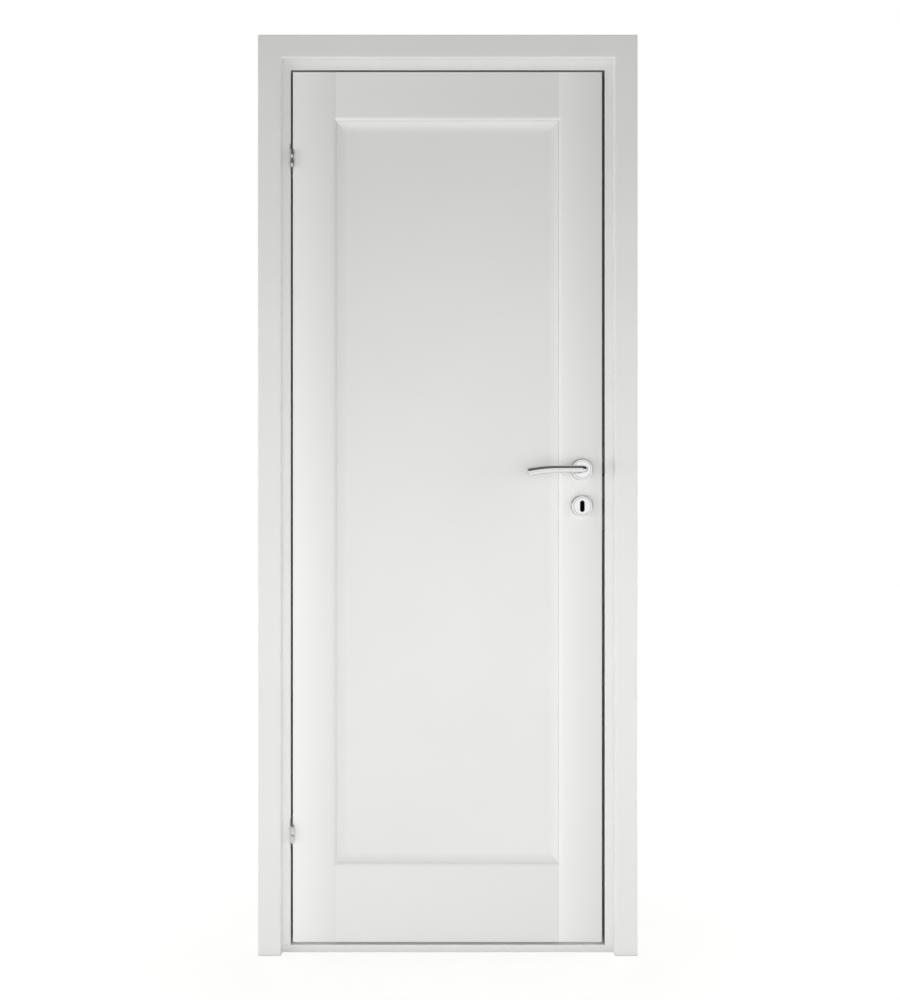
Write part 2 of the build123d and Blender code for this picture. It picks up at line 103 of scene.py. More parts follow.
def satin_enamel(name, along, film=base_film, painted_shade_across=None, painted_gap_shade=None):
    """White satin enamel on planed timber, grain along axis 0, 1 or 2.

    The eye gets an even soft white with a low sheen: the grain swells faintly under the film and the film
    has an orange peel. The peel is about 1 mm in fact and the grain 2 mm, both drawn coarser so that they
    show. Film is a lighter and a darker colour, mixed by a random cloud. Painted shade across is (axis, lit
    edge, shaded edge) in metres: the colour goes from the lighter at the lit edge to the darker at the shaded
    edge, as painted light and shade. Painted gap shade is (axis, white until, shaded at, front, back): past
    that place on the axis, between front and back, the colour turns to a flat grey, painted shade in the gap.
    """
    # grey painted as shade where the rebates and the leaf's outer edges lie in the gap round the leaf
    painted_gap_grey = "ACACA8"
    gap_grey_blur = 0.0015
    grain_across, grain_along = 0.005, 0.30
    peel_size = 0.004
    cloud_size, cloud_share = 0.30, 0.06
    shade_falloff_power = 0.75
    grain_to_peel = 1.5
    ripple_depth = 0.00003
    satin_gloss = (0.34, 0.46)
    material, tree, shader, place = new_material(name)
    apart = add_node(tree, "ShaderNodeSeparateXYZ", {0: place})

    repeats = [1 / grain_across] * 3
    repeats[along] = 1 / grain_along
    stretched = add_node(tree, "ShaderNodeMapping", {"Vector": place, "Scale": repeats})
    grain = add_node(
        tree, "ShaderNodeTexNoise", {"Vector": stretched.outputs[0], "Scale": 1.0, "Detail": 3.0}
    )
    peel = add_node(tree, "ShaderNodeTexNoise", {"Vector": place, "Scale": 1 / peel_size, "Detail": 1.0})
    cloud = add_node(tree, "ShaderNodeTexNoise", {"Vector": place, "Scale": 1 / cloud_size, "Detail": 2.0})

    cloud_and_painted_shade = cloud.outputs[0]
    # painted shade: the colour goes from light at the lit edge to darker across the piece
    if painted_shade_across:
        axis, lit_edge, shaded_edge = painted_shade_across
        across = add_node(
            tree,
            "ShaderNodeMapRange",
            {"Value": apart.outputs[axis], "From Min": lit_edge, "From Max": shaded_edge},
        )
        painted_shade_ramp = add_node(
            tree, "ShaderNodeMath", {0: across.outputs[0], 1: shade_falloff_power}, operation="POWER", use_clamp=True
        )
        cloud_and_painted_shade = add_node(
            tree, "ShaderNodeMix", {"Factor": cloud_share, "A": painted_shade_ramp.outputs[0], "B": cloud.outputs[0]}
        ).outputs[0]
    coat = add_node(tree, "ShaderNodeValToRGB", {0: cloud_and_painted_shade})
    coat.color_ramp.elements[0].color = linear(film[0])
    coat.color_ramp.elements[1].color = linear(film[1])
    colour = coat.outputs[0]
    # painted shade: towards the gap the colour turns to a flat grey
    if painted_gap_shade:
        axis, white_until, shaded_at, shade_front, shade_back = painted_gap_shade
        edge = add_node(
            tree,
            "ShaderNodeMapRange",
            {"Value": apart.outputs[axis], "From Min": white_until, "From Max": shaded_at},
        )
        for end, towards in ((shade_front, 1), (shade_back, -1)):
            depth = add_node(
                tree,
                "ShaderNodeMapRange",
                {"Value": apart.outputs[1], "From Min": end, "From Max": end + towards * gap_grey_blur},
            )
            edge = add_node(
                tree, "ShaderNodeMath", {0: edge.outputs[0], 1: depth.outputs[0]}, operation="MULTIPLY"
            )
        colour = add_node(
            tree,
            "ShaderNodeMix",
            {"Factor": edge.outputs[0], 6: colour, 7: linear(painted_gap_grey)},
            data_type="RGBA",
        ).outputs[2]
    sheen = add_node(
        tree,
        "ShaderNodeMapRange",
        {"Value": peel.outputs[0], "To Min": satin_gloss[0], "To Max": satin_gloss[1]},
    )
    ripple = add_node(
        tree,
        "ShaderNodeMath",
        {0: grain.outputs[0], 1: grain_to_peel, 2: peel.outputs[0]},
        operation="MULTIPLY_ADD",
    )
    relief = add_node(
        tree, "ShaderNodeBump", {"Height": ripple.outputs[0], "Distance": ripple_depth, "Strength": 0.6}
    )
    tree.links.new(colour, shader.inputs["Base Color"])
    tree.links.new(sheen.outputs[0], shader.inputs["Roughness"])
    tree.links.new(relief.outputs[0], shader.inputs["Normal"])
    shader.inputs["IOR"].default_value = 1.5
    return material


def finish_node(name, material):
    """Give a CAD node its real finish."""
    slots = nodes[name].data.materials
    slots.clear()
    slots.append(material)


frame_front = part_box("hinge_jamb")[0].y
stop_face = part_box("hinge_stile")[1].y + stop_clearance
# the hinge jamb and threshold are painted lighter and the lock jamb a little lighter than the base white:
# painted light
for jamb, along, across, inwards, film in (
    ("hinge_jamb", 2, 0, 1, lit_film),
    ("lock_jamb", 2, 0, -1, half_lit_film),
    ("head_jamb", 0, 2, -1, base_film),
):
    low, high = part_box(jamb)
    # the rebate faces turn grey as painted shade in the gap round the leaf
    white_until = (low if inwards > 0 else high)[across] + inwards * rounded_edge
    rebate = (across, white_until, white_until + inwards * rounded_edge, frame_front + rounded_edge, stop_face)
    finish_node(jamb, satin_enamel(f"satin enamel on the {jamb.replace('_', ' ')}", along, film, painted_gap_shade=rebate))
finish_node("threshold", satin_enamel("satin enamel on the threshold", 0, lit_film))

# Architraves
# Flat pine boards with rounded front arrises, mitred at the upper corners, sprayed with the same enamel.
# They are pinned to the edges of the frame on both faces of the wall.

for face in ("front", "back"):
    for side, along in (("hinge", 2), ("lock", 2), ("head", 0)):
        board = f"{face}_{side}_architrave"
        finish_node(board, satin_enamel(f"satin enamel on the {board.replace('_', ' ')}", along))

# Stiles and rails
# Solid timber uprights and cross rails, tongued and glued, with rolled arrises round the panel.
# Each is painted lighter at its hinge side and darker across it towards the lock side, as painted light and
# shade; the outer edges turn grey as painted shade in the gap round the leaf.

# the outer edges of stiles and rails turn grey as painted shade in the gap
gap_grey_from_edge = (0.0006, 0.0002)
# each member's pair of colours is painted light and shade, lighter at its hinge side, at a level of its own
for member, along, outer, outwards, film in (
    ("hinge_stile", 2, 0, -1, ("FDFDFB", "E5E5E3")),
    ("lock_stile", 2, 0, 1, ("F3F3F1", "E1E1DF")),
    ("top_rail", 0, 2, 1, ("F0F0EE", "E7E7E5")),
    ("bottom_rail", 0, 2, -1, ("EAEAE8", "E5E5E3")),
):
    low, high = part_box(member)
    edge = low[outer] if outwards < 0 else high[outer]
    white_until, shaded_at = (edge - outwards * inside for inside in gap_grey_from_edge)
    edge_strip = (outer, white_until, shaded_at, low.y + rounded_edge, high.y - rounded_edge)
    finish_node(
        member,
        satin_enamel(
            f"satin enamel on the {member.replace('_', ' ')}",
            along,
            film,
            painted_shade_across=(0, low.x, high.x),
            painted_gap_shade=edge_strip,
        ),
    )

# Panel
# One fibre board that floats in the grooves of stiles and rails, with a fine quirk and a cove milled
# round its edge on both faces and a flat sunk field, sprayed with the leaf.

same_point = 1e-6
panel_quirk = 0.0012
panel_ledge = 0.0015
cove_width = 0.022
cove_depth = 0.006
cove_steps = 14


def rectangle_ring(bm, low, high, y):
    """Four corners of an upright rectangle at depth y, anticlockwise seen from the front."""
    corners = ((low.x, low.z), (high.x, low.z), (high.x, high.z), (low.x, high.z))
    return [bm.verts.new((x, y, z)) for x, z in corners]


def bridge(bm, ring, next_ring):
    """Faces between two rings of the same count."""
    count = len(ring)
    for i in range(count):
        j = (i + 1) % count
        bm.faces.new((ring[i], ring[j], next_ring[j], next_ring[i]))


def finished_piece(bm, name, material, crease=35):
    """Close the mesh, turn its faces outwards and make it an object at the origin."""
    bmesh.ops.remove_doubles(bm, verts=bm.verts, dist=same_point)
    bmesh.ops.recalc_face_normals(bm, faces=bm.faces)
    mesh = bpy.data.meshes.new(name)
    bm.to_mesh(mesh)
    bm.free()
    mesh.shade_smooth()
    mesh.set_sharp_from_angle(angle=math.radians(crease))
    mesh.materials.append(material)
    piece = bpy.data.objects.new(name, mesh)
    bpy.context.scene.collection.objects.link(piece)
    return piece


panel_low, panel_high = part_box("panel")
opening_low = Vector((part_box("hinge_stile")[1].x, panel_low.y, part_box("bottom_rail")[1].z))
opening_high = Vector((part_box("lock_stile")[0].x, panel_high.y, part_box("top_rail")[0].z))
cove_radius = (cove_width ** 2 + cove_depth ** 2) / (2 * cove_depth)
cove_angle = math.asin(cove_width / cove_radius)
panel_steps = [(0.0, panel_quirk), (panel_quirk, panel_quirk), (panel_quirk, 0.0), (panel_ledge, 0.0)]
for step in range(1, cove_steps + 1):
    turn = cove_angle * (1 - step / cove_steps)
    inset = panel_ledge + cove_width - cove_radius * math.sin(turn)
    panel_steps.append((inset, cove_depth - cove_radius * (1 - math.cos(turn))))

bm = bmesh.new()
faces_of_panel = []
for y, inwards in ((opening_low.y, 1), (opening_high.y, -1)):
    rings = []
    for inset, depth in panel_steps:
        inner = Vector((inset, 0, inset))
        rings.append(rectangle_ring(bm, opening_low + inner, opening_high - inner, y + inwards * depth))
    for ring, next_ring in zip(rings, rings[1:]):
        bridge(bm, ring, next_ring)
    bm.faces.new(rings[-1])
    faces_of_panel.append(rings[0])
bridge(bm, *faces_of_panel)
panel = finished_piece(bm, "coved_panel", satin_enamel("satin enamel on the panel", 2), crease=22)
for mitre in panel.data.edges:
    start, end = (panel.data.vertices[i].co for i in mitre.vertices)
    if abs(start.x - end.x) > same_point and abs(start.z - end.z) > same_point:
        mitre.use_edge_sharp = True
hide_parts("panel")
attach(panel, "leaf")

# Hinges and strike plate
# Lift-off hinges of pressed steel, nickel plated, with slightly crowned knuckles; the pin stands in the jamb
# half. The strike plate is brushed steel. The plates are let in flush, countersunk for their screws, and the
# front edges of the hinge plates were painted over with the timber.

knuckle_radius = 0.0045
knuckle_length = 0.0198
half_knuckle_gap = 0.0002
knuckle_crown = 0.0013
knuckle_bands = 10
barrel_within = knuckle_radius / 4
front_facing = 0.99


def satin_steel(name, along, light="DCDBD7", dark="C0BFBB", gloss=(0.22, 0.42)):
    """Plated steel, brushed along one axis: a pale grey glint drawn out into fine streaks.

    Brush marks are about 0.1 mm wide in fact, drawn at 0.6 mm so that they show.
    """
    mark_width, mark_length, mark_depth = 0.0006, 0.02, 0.00001
    material, tree, shader, place = new_material(name)
    repeats = [1 / mark_width] * 3
    repeats[along] = 1 / mark_length
    stretched = add_node(tree, "ShaderNodeMapping", {"Vector": place, "Scale": repeats})
    marks = add_node(
        tree, "ShaderNodeTexNoise", {"Vector": stretched.outputs[0], "Scale": 1.0, "Detail": 2.0}
    )
    polish = add_node(
        tree, "ShaderNodeMapRange", {"Value": marks.outputs[0], "To Min": gloss[0], "To Max": gloss[1]}
    )
    tint = add_node(tree, "ShaderNodeValToRGB", {0: marks.outputs[0]})
    tint.color_ramp.elements[0].color = linear(dark)
    tint.color_ramp.elements[1].color = linear(light)
    relief = add_node(
        tree, "ShaderNodeBump", {"Height": marks.outputs[0], "Distance": mark_depth, "Strength": 0.5}
    )
    tree.links.new(tint.outputs[0], shader.inputs["Base Color"])
    tree.links.new(polish.outputs[0], shader.inputs["Roughness"])
    tree.links.new(relief.outputs[0], shader.inputs["Normal"])
    shader.inputs["Metallic"].default_value = 1.0
    return material


def crowned_hinge(name, node, body, foot, head):
    """A hinge half in place of its node: the same half with its knuckle crowned from foot to head."""
    bm = bmesh.new()
    bm.from_mesh(nodes[node].data)
    bmesh.ops.remove_doubles(bm, verts=bm.verts, dist=same_point)
    for band in range(1, knuckle_bands):
        level = foot + (head - foot) * band / knuckle_bands
        everything = [*bm.verts, *bm.edges, *bm.faces]
        bmesh.ops.bisect_plane(bm, geom=everything, plane_co=(0, 0, level), plane_no=(0, 0, 1))
    for vert in bm.verts:
        out = Vector((vert.co.x - pin_x, vert.co.y - pin_y))
        share = (2 * vert.co.z - foot - head) / (head - foot)
        if abs(share) <= 1.0 and abs(out.length - knuckle_radius) < barrel_within:
            out *= 1 - knuckle_crown * share ** 2 / knuckle_radius
            vert.co.x = pin_x + out.x
            vert.co.y = pin_y + out.y
    piece = finished_piece(bm, name, hinge_nickel)
    piece.data.materials.append(painted_edge)
    for face in piece.data.polygons:
        if face.normal.y < -front_facing and abs(face.center.y - frame_front) < half_knuckle_gap:
            face.material_index = 1
    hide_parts(node)
    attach(piece, body)


hinge_nickel = satin_steel("nickel plate on the hinges", 2, "E4E2DD", "CAC8C2", gloss=(0.12, 0.22))
painted_edge = satin_enamel("satin enamel on the edges of the hinge plates", 2)
leaf_swing = next(joint for joint in frame["joints"] if joint["name"] == "leaf_swing")
pin_x, pin_y = leaf_swing["pos_m"][:2]
for height in ("upper", "lower"):
    low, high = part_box(f"{height}_hinge_leaf_half")
    middle = (low.z + high.z) / 2
    crowned_hinge(
        f"{height}_crowned_frame_half",
        f"{height}_hinge_frame_half",
        "frame",
        middle - half_knuckle_gap - knuckle_length,
        middle - half_knuckle_gap,
    )
    crowned_hinge(
        f"{height}_crowned_leaf_half",
        f"{height}_hinge_leaf_half",
        "leaf",
        middle + half_knuckle_gap,
        middle + half_knuckle_gap + knuckle_length,
    )
lock_steel = satin_steel("brushed steel of the lock plates", 2)
finish_node("strike_plate", lock_steel)

# Lock
# A mortice lock: a brushed steel forend screwed flush into the leaf's edge, with a latch bolt and a
# dead bolt of plain steel that lie drawn back in it.

finish_node("lock_forend", lock_steel)
bolt_steel = satin_steel("ground steel of the bolts", 0, "C8C6C0", "A09F9B")
finish_node("latch_bolt", bolt_steel)
finish_node("dead_bolt", bolt_steel)
finish_node("spindle", bolt_steel)

# Screws
# Zinc plated wood screws with countersunk heads and cross recesses, sunk a hair below the plates.
# Three hold each hinge plate, two the forend and two the strike plate; each stopped at its own angle.

screw_sizes = {
    "Head Radius": 0.0039,
    "Shank Radius": 0.0021,
    "Head Depth": 0.0018,
    "Sunk": 0.0001,
    "Recess Length": 0.0042,
    "Recess Width": 0.0009,
    "Recess Depth": 0.0011,
}
hinge_screw_from_front = 0.016
hinge_screw_pitch = 0.024
hinge_screw_stagger = 0.005
hinge_plate_thickness = 0.0025
lock_screw_from_end = 0.012
screw_sides = 28
turning_seed = 7


def screw_tree(material):
    """Geometry nodes that set a countersunk screw on each point, along the point's facing."""
    tree = bpy.data.node_groups.new("countersunk screws", "GeometryNodeTree")
    sockets = tree.interface
    sockets.new_socket("Places", in_out="INPUT", socket_type="NodeSocketGeometry")
    for size in screw_sizes:
        sockets.new_socket(size, in_out="INPUT", socket_type="NodeSocketFloat")
    sockets.new_socket("Screws", in_out="OUTPUT", socket_type="NodeSocketGeometry")
    given = add_node(tree, "NodeGroupInput").outputs
    head = add_node(
        tree,
        "GeometryNodeMeshCone",
        {
            "Vertices": screw_sides,
            "Radius Top": given["Head Radius"],
            "Radius Bottom": given["Shank Radius"],
            "Depth": given["Head Depth"],
        },
    )
    depth_of_cut = add_node(
        tree, "ShaderNodeMath", {0: given["Recess Depth"], 1: 2.0}, operation="MULTIPLY"
    )
    top = add_node(tree, "ShaderNodeCombineXYZ", {"Z": given["Head Depth"]})
    slots = []
    for length, width in (("Recess Length", "Recess Width"), ("Recess Width", "Recess Length")):
        size = add_node(
            tree,
            "ShaderNodeCombineXYZ",
            {"X": given[length], "Y": given[width], "Z": depth_of_cut.outputs[0]},
        )
        bar = add_node(tree, "GeometryNodeMeshCube", {"Size": size.outputs[0]})
        slots.append(
            add_node(
                tree, "GeometryNodeTransform", {"Geometry": bar.outputs[0], "Translation": top.outputs[0]}
            )
        )
    for slot in slots:
        head = add_node(
            tree,
            "GeometryNodeMeshBoolean",
            {"Mesh 1": head.outputs[0], "Mesh 2": slot.outputs[0]},
            operation="DIFFERENCE",
        )
    top_level = add_node(
        tree, "ShaderNodeMath", {0: given["Head Depth"], 1: given["Sunk"]}, operation="ADD"
    )
    downwards = add_node(tree, "ShaderNodeMath", {0: top_level.outputs[0], 1: -1.0}, operation="MULTIPLY")
    sink = add_node(tree, "ShaderNodeCombineXYZ", {"Z": downwards.outputs[0]})
    screw = add_node(
        tree, "GeometryNodeTransform", {"Geometry": head.outputs[0], "Translation": sink.outputs[0]}
    )
    facing = add_node(
        tree, "GeometryNodeInputNamedAttribute", {"Name": "facing"}, data_type="FLOAT_VECTOR"
    )
    upright = add_node(tree, "FunctionNodeAlignRotationToVector", {"Vector": facing.outputs[0]}, axis="Z")
    angle = add_node(
        tree, "FunctionNodeRandomValue", {2: 0.0, 3: math.pi, "Seed": turning_seed}, data_type="FLOAT"
    )
    spin = add_node(
        tree, "FunctionNodeAxisAngleToRotation", {"Axis": (0, 0, 1), "Angle": angle.outputs[1]}
    )
    turned = add_node(
        tree,
        "FunctionNodeRotateRotation",
        {"Rotation": upright.outputs[0], "Rotate By": spin.outputs[0]},
        rotation_space="LOCAL",
    )
    placed = add_node(
        tree,
        "GeometryNodeInstanceOnPoints",
        {"Points": given["Places"], "Instance": screw.outputs[0], "Rotation": turned.outputs[0]},
    )
    real = add_node(tree, "GeometryNodeRealizeInstances", {0: placed.outputs[0]})
    coloured = add_node(
        tree, "GeometryNodeSetMaterial", {"Geometry": real.outputs[0], "Material": material}
    )
    add_node(tree, "NodeGroupOutput", {0: coloured.outputs[0]})
    return tree


def driven_screws(name, tree, places, body):
    """Screws at (point, facing) places as one plain mesh that rides on a body."""
    points = bpy.data.meshes.new(name)
    points.from_pydata([point for point, facing in places], [], [])
    facings = points.attributes.new("facing", "FLOAT_VECTOR", "POINT")
    for item, (point, facing) in zip(facings.data, places):
        item.vector = facing
    carrier = bpy.data.objects.new(name, points)
    bpy.context.scene.collection.objects.link(carrier)
    modifier = carrier.modifiers.new("screws", "NODES")
    modifier.node_group = tree
    for socket in tree.interface.items_tree:
        if socket.name in screw_sizes:
            modifier[socket.identifier] = screw_sizes[socket.name]
    evaluated = carrier.evaluated_get(bpy.context.evaluated_depsgraph_get())
    mesh = bpy.data.meshes.new_from_object(evaluated)
    bpy.data.objects.remove(carrier)
    mesh.name = name
    screws = bpy.data.objects.new(name, mesh)
    bpy.context.scene.collection.objects.link(screws)
    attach(screws, body)


screw_zinc = satin_steel("bright zinc plate on the screws", 0, "CFCECB", "B0AFAB")
towards_lock, towards_hinges = (1, 0, 0), (-1, 0, 0)
frame_places, leaf_places = [], []
screw_row = frame_front + hinge_screw_from_front
for height in ("upper", "lower"):
    plate_low, plate_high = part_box(f"{height}_hinge_frame_half")
    jamb_plate_x = plate_low.x + hinge_plate_thickness
    leaf_plate_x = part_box("hinge_stile")[0].x
    for step in (-1, 0, 1):
        y = screw_row + (hinge_screw_stagger if step == 0 else 0.0)
        z = (plate_low.z + plate_high.z) / 2 + step * hinge_screw_pitch
        frame_places.append(((jamb_plate_x, y, z), towards_lock))
        leaf_places.append(((leaf_plate_x, y, z), towards_hinges))
forend_low, forend_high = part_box("lock_forend")
strike_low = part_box("strike_plate")[0]
forend_y = (forend_low.y + forend_high.y) / 2
for z in (forend_low.z + lock_screw_from_end, forend_high.z - lock_screw_from_end):
    leaf_places.append(((forend_high.x, forend_y, z), towards_lock))
    frame_places.append(((strike_low.x, forend_y, z), towards_hinges))
screws_of_plates = screw_tree(screw_zinc)
driven_screws("frame_screws", screws_of_plates, frame_places, "frame")
driven_screws("leaf_screws", screws_of_plates, leaf_places, "leaf")

# Roses
# Turned brass discs, polished and chrome plated, clipped over plates that are screwed to the leaf.
# A fine ring is turned in each face, and the key rose has a slot for the key.

rose_ring = 0.0009
rose_ring_depth = 0.0007
ring_place = 0.8
ring_slope = 0.2
rose_rim = 0.0020
rim_steps = 8
rose_sides = 96
neck_hole_radius = 0.0076
key_slot_width, key_slot_height = 0.011, 0.027


def chrome_plate(name):
    """Polished chrome plate: a near-white mirror that darkens at its edges, hazed by polishing marks.

    The marks are finer than a tenth of a millimetre in fact, drawn at 1.5 mm so that they show.
    """
    mark_size = 0.0015
    mirror_gloss = (0.03, 0.09)
    material, tree, shader, place = new_material(name)
    haze = add_node(tree, "ShaderNodeTexNoise", {"Vector": place, "Scale": 1 / mark_size, "Detail": 3.0})
    gloss = add_node(
        tree,
        "ShaderNodeMapRange",
        {"Value": haze.outputs[0], "To Min": mirror_gloss[0], "To Max": mirror_gloss[1]},
    )
    tint = add_node(tree, "ShaderNodeValToRGB", {0: haze.outputs[0]})
    tint.color_ramp.elements[0].color = linear("E9EAEA")
    tint.color_ramp.elements[1].color = linear("F2F3F3")
    tree.links.new(tint.outputs[0], shader.inputs["Base Color"])
    tree.links.new(gloss.outputs[0], shader.inputs["Roughness"])
    shader.inputs["Metallic"].default_value = 1.0
    shader.inputs["Specular Tint"].default_value = linear("B8B8B8")
    return material


def ring_groove_shade(name):
    """Painted shade in the ring groove: a dull grey line, darker in specks of half a millimetre."""
    speck_size = 0.0005
    material, tree, shader, place = new_material(name)
    specks = add_node(tree, "ShaderNodeTexNoise", {"Vector": place, "Scale": 1 / speck_size, "Detail": 2.0})
    tint = add_node(tree, "ShaderNodeValToRGB", {0: specks.outputs[0]})
    tint.color_ramp.elements[0].color = linear("6E6E6B")
    tint.color_ramp.elements[1].color = linear("9A9A97")
    tree.links.new(tint.outputs[0], shader.inputs["Base Color"])
    shader.inputs["Roughness"].default_value = 0.7
    return material


def circle_ring(bm, centre, radius, y, count=rose_sides):
    """Points of an upright circle at depth y, anticlockwise seen from the front, from its lowest point."""
    turns = (2 * math.pi * i / count for i in range(count))
    return [
        bm.verts.new((centre.x + radius * math.sin(t), y, centre.z - radius * math.cos(t))) for t in turns
    ]


def slot_ring(bm, centre, width, height, y, count=rose_sides):
    """Points of an upright round-ended slot at depth y, matching circle_ring point by point."""
    radius = width / 2
    straight = height / 2 - radius
    ring = []
    for i in range(count):
        turn = 2 * math.pi * i / count
        x = radius * math.sin(turn)
        z = -math.cos(turn)
        lift = straight if z > 0 else -straight
        ring.append(bm.verts.new((centre.x + x, y, centre.z + lift + radius * z)))
    return ring


def rose(name, node, hole_ring):
    """A rose in place of its node: back edge, rounded rim, ring groove and face, pierced by its hole."""
    low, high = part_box(node)
    centre = (low + high) / 2
    radius = (high.x - low.x) / 2
    thickness = high.y - low.y
    on_front = node.startswith("front")
    seat = high.y if on_front else low.y
    out = -1 if on_front else 1
    bm = bmesh.new()
    profile = [(radius, 0.0), (radius, thickness - rose_rim)]
    for step in range(1, rim_steps + 1):
        turn = math.pi / 2 * step / rim_steps
        profile.append(
            (radius - rose_rim * (1 - math.cos(turn)), thickness - rose_rim * (1 - math.sin(turn)))
        )
    ring_outer = radius * ring_place + rose_ring / 2
    ring_inner = ring_outer - rose_ring
    ring_floor = thickness - rose_ring_depth
    profile += [
        (ring_outer, thickness),
        (ring_outer - rose_ring * ring_slope, ring_floor),
        (ring_inner + rose_ring * ring_slope, ring_floor),
        (ring_inner, thickness),
    ]
    rings = [circle_ring(bm, centre, r, seat + out * height) for r, height in profile]
    rings.append(hole_ring(bm, centre, seat + out * thickness))
    rings.append(hole_ring(bm, centre, seat))
    for ring, next_ring in zip(rings, rings[1:]):
        bridge(bm, ring, next_ring)
    bridge(bm, rings[-1], rings[0])
    piece = finished_piece(bm, name, rose_chrome, crease=30)
    # the faces in the ring groove take the grey of painted shade
    piece.data.materials.append(ring_shade_grey)
    for face in piece.data.polygons:
        from_axis = math.hypot(face.center.x - centre.x, face.center.z - centre.z)
        on_face_side = (face.center.y - seat) * out > thickness / 2
        if on_face_side and ring_inner < from_axis < ring_outer:
            face.material_index = 1
    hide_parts(node)
    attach(piece, "leaf")


rose_chrome = chrome_plate("polished chrome of the roses")
ring_shade_grey = ring_groove_shade("dried polish in the rose rings")
for face in ("front", "back"):
    rose(
        f"{face}_turned_handle_rose",
        f"{face}_handle_rose",
        lambda bm, centre, y: circle_ring(bm, centre, neck_hole_radius, y),
    )
    rose(
        f"{face}_turned_key_rose",
        f"{face}_key_rose",
        lambda bm, centre, y: slot_ring(bm, centre, key_slot_width, key_slot_height, y),
    )

# Keyhole liners
# Pressed sheet steel cups that line each key slot down to the lock and hide the timber, near-black as painted
# shade inside the slot.
# They are a push fit in the slot and stand a little below the face of the rose.

liner_clearance = 0.00005
liner_wall = 0.0004
liner_below_face = 0.0010
keyhole_recess = 0.012


def keyhole_shade_black(name):
    """Near-black painted shade for the key slots: a dull black with faint cloudy patches a few millimetres
    across.
    """
    patch_size = 0.004
    material, tree, shader, place = new_material(name)
    patches = add_node(tree, "ShaderNodeTexNoise", {"Vector": place, "Scale": 1 / patch_size, "Detail": 2.0})
    tint = add_node(tree, "ShaderNodeValToRGB", {0: patches.outputs[0]})
    tint.color_ramp.elements[0].color = linear("0A0A0A")
    tint.color_ramp.elements[1].color = linear("1C1B1A")
    tree.links.new(tint.outputs[0], shader.inputs["Base Color"])
    shader.inputs["Roughness"].default_value = 0.75
    shader.inputs["Specular IOR Level"].default_value = 0.2
    return material


# near-black painted shade inside each key slot
liner_shade_black = keyhole_shade_black("oil black of the keyhole liners")
for face, out in (("front", -1), ("back", 1)):
    low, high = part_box(f"{face}_key_rose")
    centre = (low + high) / 2
    mouth = (low.y if out < 0 else high.y) - out * liner_below_face
    deep = (high.y if out < 0 else low.y) - out * (keyhole_recess - liner_clearance)
    outer = (key_slot_width - 2 * liner_clearance, key_slot_height - 2 * liner_clearance)
    inner = (outer[0] - 2 * liner_wall, outer[1] - 2 * liner_wall)
    bm = bmesh.new()
    rings = [
        slot_ring(bm, centre, *outer, deep),
        slot_ring(bm, centre, *outer, mouth),
        slot_ring(bm, centre, *inner, mouth),
        slot_ring(bm, centre, *inner, deep + out * liner_wall),
    ]
    for ring, next_ring in zip(rings, rings[1:]):
        bridge(bm, ring, next_ring)
    bm.faces.new(rings[0])
    bm.faces.new(rings[-1])
    liner = finished_piece(bm, f"{face}_keyhole_liner", liner_shade_black)
    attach(liner, "leaf")

# Levers
# Drawn brass bar bent to a round elbow and a gentle droop, its grip pressed a little oval and cut blunt
# at the tip, polished and chrome plated. Each neck passes through its rose on to the square spindle.

lever_radius = 0.0075
grip_half_height, tip_half_height = 0.0083, 0.0097
elbow_radius = 0.011
straight_reach = 0.058
droop = 0.008
tip_rounding = 0.0025
elbow_steps = 12
grip_steps = 24
tip_steps = 8
tube_sides = 40
spindle_low, spindle_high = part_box("spindle")
spindle_axis = (spindle_low + spindle_high) / 2


def tube(bm, path, radii, heights):
    """Skin a tube round a path, its ring planes square to the path, oval where heights differ from radii."""
    rings = []
    for i, point in enumerate(path):
        ahead = path[min(i + 1, len(path) - 1)] - path[max(i - 1, 0)]
        ahead.normalize()
        up = Vector((0, 0, 1)) - ahead * ahead.z
        up.normalize()
        aside = ahead.cross(up)
        ring = []
        for k in range(tube_sides):
            turn = 2 * math.pi * k / tube_sides
            across = aside * radii[i] * math.cos(turn)
            ring.append(bm.verts.new(point + across + up * heights[i] * math.sin(turn)))
        rings.append(ring)
    for ring, next_ring in zip(rings, rings[1:]):
        bridge(bm, ring, next_ring)
    bm.faces.new(rings[0])
    bm.faces.new(rings[-1])


